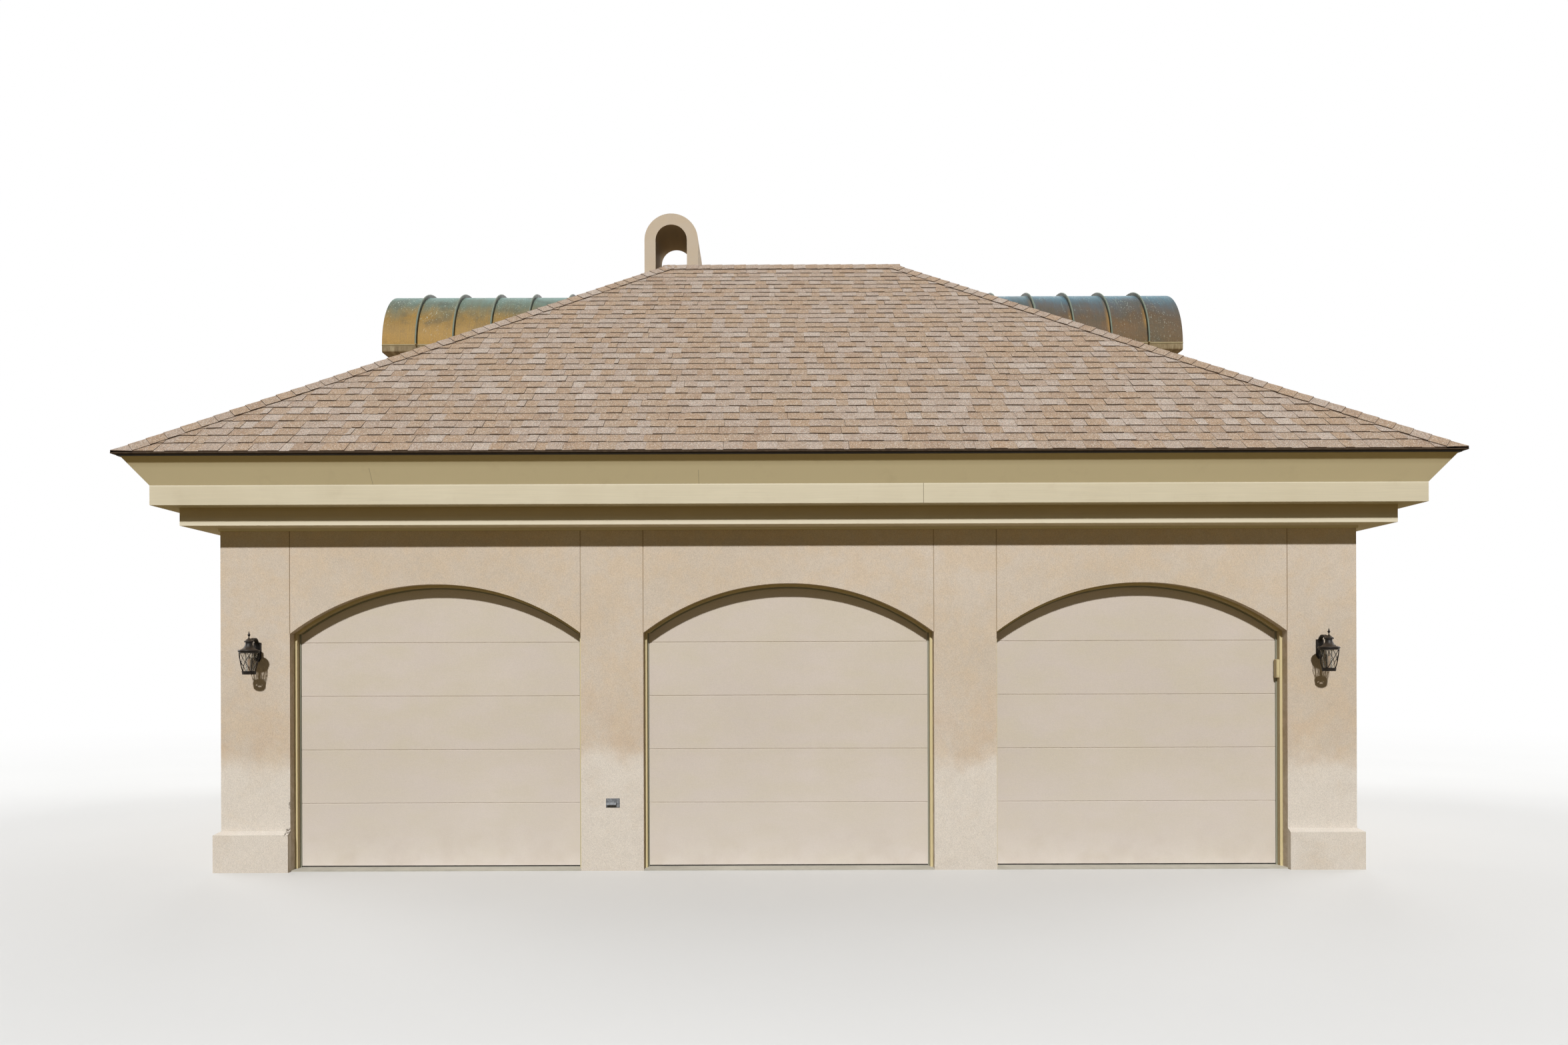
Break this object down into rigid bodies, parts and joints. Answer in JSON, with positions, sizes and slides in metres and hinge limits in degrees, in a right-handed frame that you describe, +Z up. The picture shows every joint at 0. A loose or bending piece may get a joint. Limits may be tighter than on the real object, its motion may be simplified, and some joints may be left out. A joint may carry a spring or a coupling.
{
  "type": "three-bay garage with roof cupola",
  "caption": "Hip-roofed garage with arched sectional doors, a stepped cornice, copper barrel dormers, wall lanterns and an open arched stucco cupola behind the ridge.",
  "frame": {"origin": "on the ground under the middle of the roof plan", "axes": "+X along the front to the right as seen from the doors' side, +Y from the doors to the rear wall, +Z up"},
  "size_m": [10.754, 8.084, 7.1968],
  "materials": {
    "concrete": "rough",
    "stucco": "fine sand finish",
    "painted_trim": "satin",
    "drip_metal": "satin",
    "shingles": "rough mineral granules",
    "copper": "weathered with patina",
    "window_glass": "clear",
    "door_paint": "satin",
    "seal_rubber": "matt",
    "lantern_metal": "powder coated",
    "lantern_glass": "seeded",
    "candle": "matt",
    "vent_metal": "dull"
  },
  "bodies": {
    "root": {"floor_slab": "concrete", "front_pier_left": "stucco", "front_pier_mid_left": "stucco", "front_pier_mid_right": "stucco", "front_pier_right": "stucco", "arch_head_left": "stucco", "arch_head_middle": "stucco", "arch_head_right": "stucco", "wall_left": "stucco", "wall_right": "stucco", "wall_rear": "stucco", "base_plinth": "stucco", "dormer_end_wall_left": "stucco", "dormer_end_wall_right": "stucco", "dormer_cheeks_left": "stucco", "dormer_cheeks_right": "stucco", "cupola_curb": "stucco", "cupola_arch": "stucco", "cornice_frieze": "painted_trim", "cornice_fascia": "painted_trim", "cornice_splay": "painted_trim", "door_trim_left": "painted_trim", "door_trim_middle": "painted_trim", "door_trim_right": "painted_trim", "dormer_window_frames": "painted_trim", "switch_box": "painted_trim", "drip_edge": "drip_metal", "roof_front": "shingles", "roof_rear": "shingles", "roof_left": "shingles", "roof_right": "shingles", "ridge_cap": "shingles", "hip_caps": "shingles", "dormer_barrel_left": "copper", "dormer_barrel_right": "copper", "dormer_window_glass": "window_glass", "door_left": "door_paint", "door_middle": "door_paint", "door_right": "door_paint", "door_seals": "seal_rubber", "lantern_left": "lantern_metal", "lantern_right": "lantern_metal", "lantern_glass": "lantern_glass", "lantern_candles": "candle", "vent_hood": "vent_metal"}
  },
  "joints": []
}
